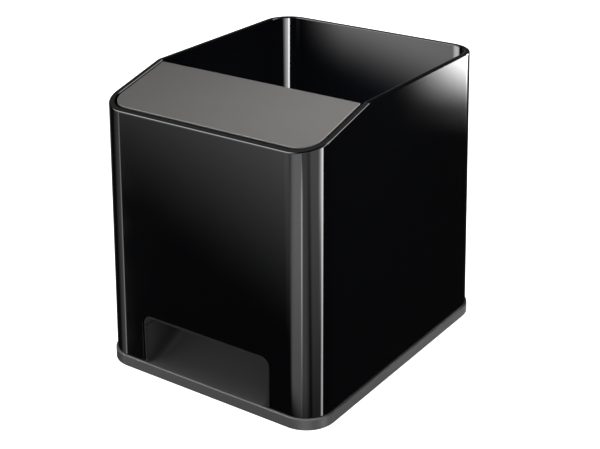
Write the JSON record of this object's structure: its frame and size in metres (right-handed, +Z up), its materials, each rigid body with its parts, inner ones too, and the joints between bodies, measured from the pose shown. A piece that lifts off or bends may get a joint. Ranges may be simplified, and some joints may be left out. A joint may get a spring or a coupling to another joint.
{
  "type": "pen holder",
  "caption": "Open desk pen holder with a sloping front lid, a phone slot behind it and a sound horn that opens at the foot of the front.",
  "frame": {"origin": "on the desk, under the middle of the base plate", "axes": "+X to the right as seen from the front, +Y to the rear, +Z up; the sloping lid and the sound outlet face -Y"},
  "size_m": [0.0894, 0.108, 0.1005],
  "materials": {
    "gloss_black": "high gloss black moulded plastic",
    "satin_grey": "satin mid grey moulded plastic with a fine spark texture",
    "matt_grey": "matt dark grey moulded plastic",
    "charcoal": "matt charcoal moulded plastic",
    "matt_black": "matt black moulded plastic",
    "soft_pad": "soft foam rubber",
    "rubber": "matt black rubber",
    "steel": "plain steel"
  },
  "bodies": {
    "root": {"outer_shell": "gloss_black", "front_lid": "satin_grey", "phone_pocket": "matt_black", "phone_pad": "soft_pad", "horn_ramp": "charcoal", "horn_hood": "charcoal", "base_plate": "matt_grey", "foot_front_left": "rubber", "foot_front_right": "rubber", "foot_rear_left": "rubber", "foot_rear_right": "rubber", "screw_front_left": "steel", "screw_front_right": "steel", "screw_rear_left": "steel", "screw_rear_right": "steel", "screw_horn_left": "steel", "screw_horn_right": "steel"}
  },
  "joints": []
}
